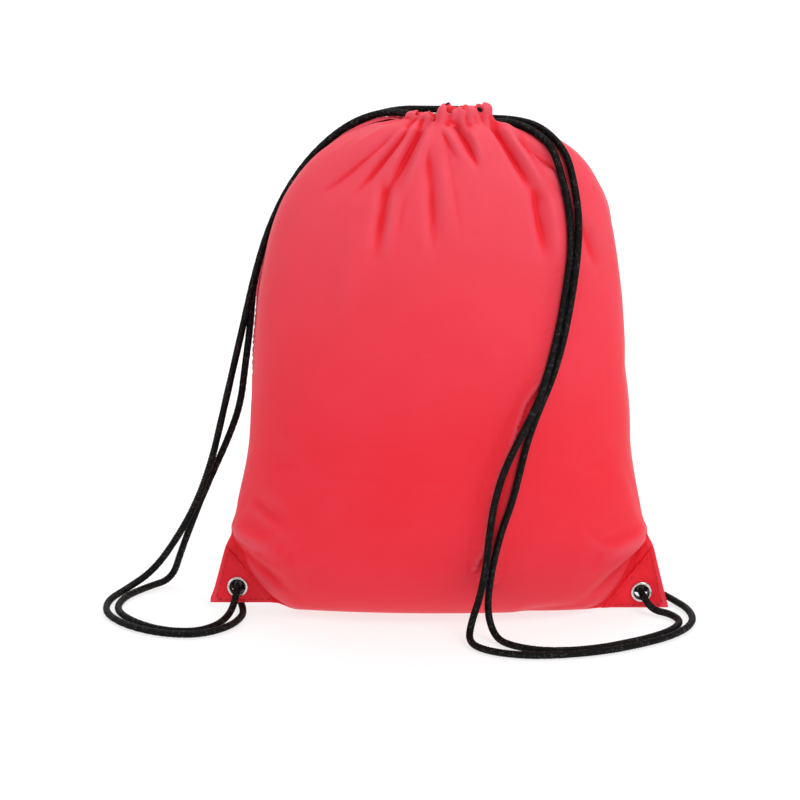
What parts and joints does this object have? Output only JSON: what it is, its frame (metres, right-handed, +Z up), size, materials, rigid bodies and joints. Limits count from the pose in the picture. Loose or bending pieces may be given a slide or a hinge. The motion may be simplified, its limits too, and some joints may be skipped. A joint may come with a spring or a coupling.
{
  "type": "drawstring backpack",
  "caption": "Stuffed drawstring backpack of red woven cloth, mouth drawn shut, with two black cords and eyeletted corner patches.",
  "frame": {"origin": "on the floor under the middle of the stuffed bag", "axes": "+Z up, the front panel faces -Y, +X to the right seen from the front"},
  "size_m": [0.4401, 0.189, 0.3775],
  "materials": {
    "cloth": "thin plain-woven polyester with a soft sheen",
    "leathercloth": "fine-grained coated cloth, semi-matt",
    "nickel": "bright nickel plate",
    "thread": "spun polyester thread",
    "cord": "braided polyester cord"
  },
  "bodies": {
    "root": {"front_panel": "cloth", "back_panel": "cloth", "front_casing": "cloth", "back_casing": "cloth", "left_side_seam": "cloth", "right_side_seam": "cloth", "bottom_seam": "cloth", "left_patch_front": "leathercloth", "left_patch_back": "leathercloth", "right_patch_front": "leathercloth", "right_patch_back": "leathercloth", "left_eyelet": "nickel", "right_eyelet": "nickel", "left_washer": "nickel", "right_washer": "nickel", "left_patch_stitching": "thread", "right_patch_stitching": "thread", "front_casing_stitching": "thread", "back_casing_stitching": "thread", "left_drawcord": "cord", "right_drawcord": "cord", "left_knot": "cord", "right_knot": "cord"}
  },
  "joints": []
}
